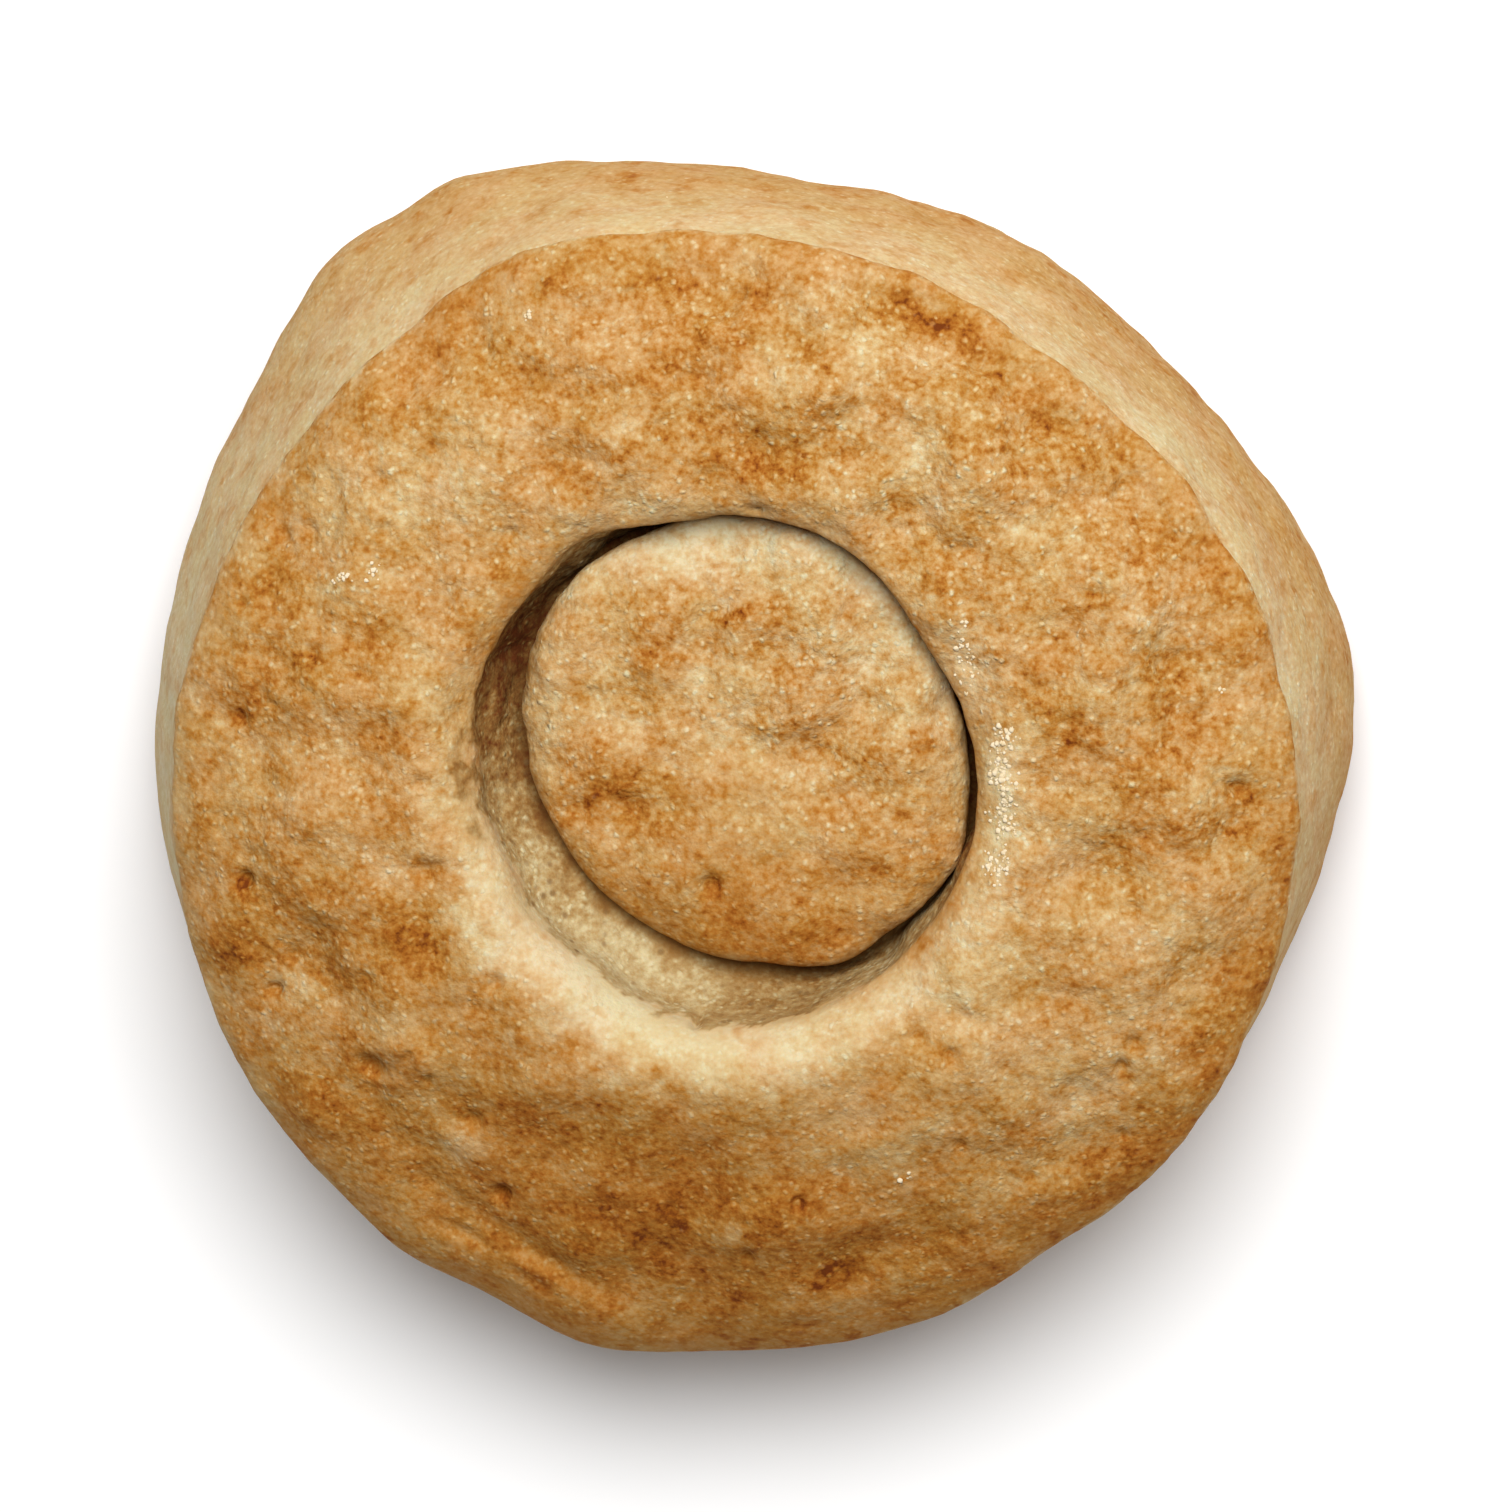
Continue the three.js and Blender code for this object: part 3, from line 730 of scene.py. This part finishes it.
mottled = useGroup(tree, mottle, Vector=place, **crustLooks["mottle"])["Value"]
grains = useGroup(tree, crystals, Vector=place, Scale=crustLooks["grainScale"])
clump = addMask(tree, place, crustLooks["clump"])
clumped = addMath(tree, "MULTIPLY", grains["Grain"], clump)
value = addMath(tree, "ADD", mottled, crustLooks["browner"])
value = addMath(tree, "MULTIPLY_ADD", clumped, -crustLooks["grainPaler"], value)
value = addMath(tree, "MULTIPLY_ADD", value, coarseness, brownedAndShaded)
flank = addMath(tree, "SUBTRACT", addMath(tree, "SUBTRACT", 1.0, coarseness), crumbly)
flank = addMath(tree, "MAXIMUM", flank, 0.0)  # more where the dough is smooth and uncut
value = addMath(tree, "MULTIPLY_ADD", addMask(tree, place, crustLooks["fleck"]), flank, value)

colour = addRamp(tree, value, crustLooks["browningAndShade"])
bright = addMath(tree, "MULTIPLY", addMath(tree, "MULTIPLY", grains["Bright"], clump), coarseness)
bright = addMath(tree, "MULTIPLY", bright, crustLooks["brightShare"])
colour = mixColour(tree, "MIX", bright, colour, linear(*crustLooks["bright"]))
drift = addMask(tree, place, crustLooks["drift"])
tint = mixColour(tree, "MIX", drift, linear(*crustLooks["cool"]), linear(*crustLooks["warm"]))
colour = mixColour(tree, "MULTIPLY", 1.0, colour, tint)

# Pores: spots of painted shade on the crumb
pores = addNode(tree, "ShaderNodeTexVoronoi", Vector=place, Scale=crustLooks["poreScale"])
pores = addRange(tree, pores.outputs["Distance"], *crustLooks["poreEdge"])
pores = addMath(tree, "MULTIPLY", pores, addMask(tree, place, crustLooks["porous"]))
pores = addMath(tree, "MULTIPLY", pores, crustLooks["poreShare"])
crumbColour = addRamp(tree, value, crustLooks["crumb"])
crumbColour = mixColour(tree, "MIX", pores, crumbColour, linear(*crustLooks["poreShade"]))
colour = mixColour(tree, "MIX", crumbly, colour, crumbColour)
tree.links.new(colour, shader.inputs["Base Color"])

shader.inputs["Subsurface Weight"].default_value = crustLooks["subsurface"]
shader.inputs["Subsurface Radius"].default_value = crustLooks["subsurfaceRadius"]
shader.inputs["Subsurface Scale"].default_value = crustLooks["subsurfaceDepth"] * mm
height = addNoise(tree, place, *crustLooks["bumpNoise"])
height = addMath(tree, "MULTIPLY", height, crustLooks["bumpHeight"])
height = addMath(tree, "MULTIPLY_ADD", clumped, crustLooks["grainHeight"], height)
height = addMath(tree, "MULTIPLY", height, coarseness)
bumpy = addNode(tree, "ShaderNodeBump", Height=height, Strength=1.0, Distance=mm)
tree.links.new(bumpy.outputs["Normal"], shader.inputs["Normal"])
mesh.materials.append(crust)
print("crust:", len(tree.nodes), "nodes")

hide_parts("biscuit")
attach(biscuit, "root")


# Flour: small white grains left on the crust
flour = {
    # Clusters of grains: x, y, half length, half width, bearing, count
    "clusters": [
        [16.7, 3.7, 0.8, 0.6, 90, 44], [16.5, 1.3, 1.2, 0.7, 95, 70], [16.8, -1.2, 1.3, 0.7, 85, 80],
        [16.3, -4.2, 0.8, 0.8, 60, 60], [-23.6, 12.6, 0.5, 0.3, 20, 14], [-21.6, 13.0, 0.5, 0.4, 60, 18],
        [-12.4, 28.6, 0.4, 0.3, 20, 10], [14.2, 8.6, 1.8, 0.6, 285, 44], [29.7, 6.4, 0.3, 0.2, 0, 6],
        [-5.3, 35.2, 0.3, 0.2, 0, 3], [10.6, -24.0, 0.5, 0.25, 0, 5],
    ],
    "spread": 0.6,  # of the grains in a cluster, in its half sizes
    "lowest": 12,  # flour lies only above this height
    "radius": (0.07, 0.2),
    "flatness": 0.45,
    "sink": 0.68,  # share of a grain's height that is in the crust
    "corners": (0.8, 1.1),  # how far out each corner is, times the radius
    "lumpiness": 0.5,
    "lumpScale": 1.3,
    "shade": (1500, 2, 0.5, 0.3, 0.6, 0.0, 1.0),  # mask of noise from the shadow's colour to the other
    "shadow": (204, 182, 142),
    "colour": (214, 198, 168),
    "roughness": 0.95,
    "specular": 0.1,
    "seed": 11,
}


def grainShape(radius, draw):
    ball = bmesh.new()
    shift = Vector((draw.uniform(0, 50), 0, 0))
    bmesh.ops.create_icosphere(ball, subdivisions=2, radius=radius)
    for vertex in ball.verts:
        lump = noise.noise(vertex.co / radius * flour["lumpScale"] + shift)
        vertex.co *= draw.uniform(*flour["corners"]) + flour["lumpiness"] * lump
        vertex.co.z *= flour["flatness"]
    corners = [vertex.co.copy() for vertex in ball.verts]
    triangles = [[vertex.index for vertex in face.verts] for face in ball.faces]
    ball.free()
    return corners, triangles


def flourMesh(surface):
    draw = random.Random(flour["seed"])
    small, big = flour["radius"]
    corners, faces = [], []
    for x, y, halfLength, halfWidth, bearing, count in flour["clusters"]:
        turn = math.radians(bearing)
        for _ in range(count):
            along = draw.gauss(0, flour["spread"]) * halfLength
            across = draw.gauss(0, flour["spread"]) * halfWidth
            spotX = x + along * math.cos(turn) - across * math.sin(turn)
            spotY = y + along * math.sin(turn) + across * math.cos(turn)
            radius = small + (big - small) * draw.random() ** 2
            nearest = surface[np.argmin(np.hypot(surface[:, 0] - spotX, surface[:, 1] - spotY))]
            shape, shapeFaces = grainShape(radius, draw)
            middle = Vector((spotX, spotY, nearest[2] + radius * flour["flatness"] * (1 - 2 * flour["sink"])))
            faces += [[len(corners) + k for k in face] for face in shapeFaces]
            corners += [middle + corner + Vector((*dough["centred"], 0)) for corner in shape]
    mesh = bpy.data.meshes.new("flourSpecks")
    mesh.from_pydata([corner * mm for corner in corners], [], faces)
    mesh.shade_smooth()
    return mesh


specksMesh = flourMesh(points[points[:, 2] > flour["lowest"]])
specks = addObject("flourSpecks", specksMesh)
flourMaterial, tree, shader = newMaterial("looseFlour", flour["roughness"], flour["specular"])
dusty = tree.nodes.new("ShaderNodeTexCoord").outputs["Object"]
shade = addMask(tree, dusty, flour["shade"])
powder = mixColour(tree, "MIX", shade, linear(*flour["shadow"]), linear(*flour["colour"]))
tree.links.new(powder, shader.inputs["Base Color"])
specksMesh.materials.append(flourMaterial)
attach(specks, "root")
print("flour:", len(specksMesh.polygons), "triangles")


# Studio: pale floor and soft light, in metres and watts
studio = {
    "floorHalf": 3.0,
    "floorColour": (0.9, 0.9, 0.9),
    "floorRoughness": 0.9,
    "floorSpecular": 0.1,
    "skyColour": (1, 1, 1),
    "lampBearing": 72,
    "lampElevation": 63,
    "lampDistance": 0.5,
    "lampSize": 0.32,
    "lampPower": 3.4,
    "skyStrength": 0.29,
}


def bearingVector(bearing, elevation):
    turn, rise = math.radians(bearing), math.radians(elevation)
    return Vector((math.cos(rise) * math.cos(turn), math.cos(rise) * math.sin(turn), math.sin(rise)))


half = studio["floorHalf"]
floorCorners = [(-half, -half, 0), (half, -half, 0), (half, half, 0), (-half, half, 0)]
floorMesh = bpy.data.meshes.new("floor")
floorMesh.from_pydata(floorCorners, [], [(0, 1, 2, 3)])
floor = addObject("floor", floorMesh)
floorMaterial, tree, shader = newMaterial("paleFloor", studio["floorRoughness"], studio["floorSpecular"])
shader.inputs["Base Color"].default_value = (*studio["floorColour"], 1)
floorMesh.materials.append(floorMaterial)

lamp = bpy.data.lights.new("softLamp", "AREA")
lamp.shape = "DISK"
lamp.size = studio["lampSize"]
lamp.energy = studio["lampPower"]
lampObject = addObject("softLamp", lamp)
towardsLamp = bearingVector(studio["lampBearing"], studio["lampElevation"])
lampObject.location = towardsLamp * studio["lampDistance"]
lampObject.rotation_euler = towardsLamp.to_track_quat("Z", "Y").to_euler()

world = bpy.data.worlds.new("studioSky")
bpy.context.scene.world = world
world.use_nodes = True
sky = world.node_tree.nodes["Background"]
sky.inputs["Color"].default_value = (*studio["skyColour"], 1)
sky.inputs["Strength"].default_value = studio["skyStrength"]
bpy.context.scene.view_settings.view_transform = "Standard"
print("studio: floor, lamp and sky")

# Camera, in mm, as it looks down in the photo
view = {
    "tilt": 11,  # degrees from straight down
    "towards": 47,  # bearing that the camera stands at
    "distance": 450,
    "targetHeight": 14,
    "mmPerPixel": 0.0625,  # at the target
    "framePixels": 1512,
    "targetPixel": (760, 757),
    "sensorWidth": 36.0,
    "nearest": 10,
}
outward = bearingVector(view["towards"], 90 - view["tilt"])
right = (-outward).cross(Vector((0, 1, 0))).normalized()
up = right.cross(-outward)
turn = Matrix((right, up, outward)).transposed().to_4x4()
target = Vector((*dough["centred"], view["targetHeight"]))
camera = bpy.data.cameras.new("camera")
camera.sensor_width = view["sensorWidth"]
camera.lens = view["sensorWidth"] * view["distance"] / (view["mmPerPixel"] * view["framePixels"])
camera.shift_x = -(view["targetPixel"][0] - view["framePixels"] / 2) / view["framePixels"]
camera.shift_y = (view["targetPixel"][1] - view["framePixels"] / 2) / view["framePixels"]
camera.clip_start = view["nearest"] * mm
cameraObject = addObject("camera", camera)
cameraObject.matrix_world = Matrix.Translation((target + outward * view["distance"]) * mm) @ turn
bpy.context.scene.camera = cameraObject
print("camera:", view["tilt"], "degrees from straight down")

bpy.context.view_layer.update()
